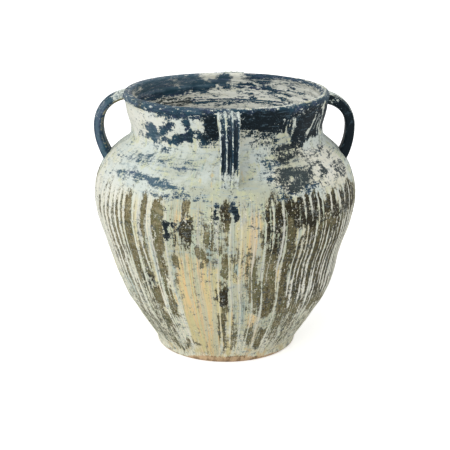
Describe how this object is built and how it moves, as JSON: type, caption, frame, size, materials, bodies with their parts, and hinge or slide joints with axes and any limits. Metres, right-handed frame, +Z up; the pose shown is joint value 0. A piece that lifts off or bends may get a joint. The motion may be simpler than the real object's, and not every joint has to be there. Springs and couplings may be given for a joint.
{
  "type": "terracotta planter",
  "caption": "Round-bellied terracotta planter with a narrow foot, short flared neck, rolled lip and fluted strap handles from lip to shoulder.",
  "frame": {"origin": "centre of the underside, on the surface the planter stands on", "axes": "+Z up along the pot's axis; the front handle faces -Y and the right handle +X"},
  "size_m": [0.3, 0.3, 0.298],
  "materials": {
    "bare_clay": "bare fired terracotta, matte",
    "streaked_glaze": "cream glaze run in drips over olive-brown, satin",
    "cream_glaze": "weathered cream glaze with dark blue patches, satin",
    "blue_glaze": "worn dark blue glaze, satin"
  },
  "bodies": {
    "root": {"floor_disc": "bare_clay", "lower_wall": "streaked_glaze", "shoulder_wall": "cream_glaze", "neck_collar": "cream_glaze", "rim_lip": "blue_glaze", "handle_front": "blue_glaze", "handle_right": "blue_glaze", "handle_back": "blue_glaze", "handle_left": "blue_glaze"}
  },
  "joints": []
}
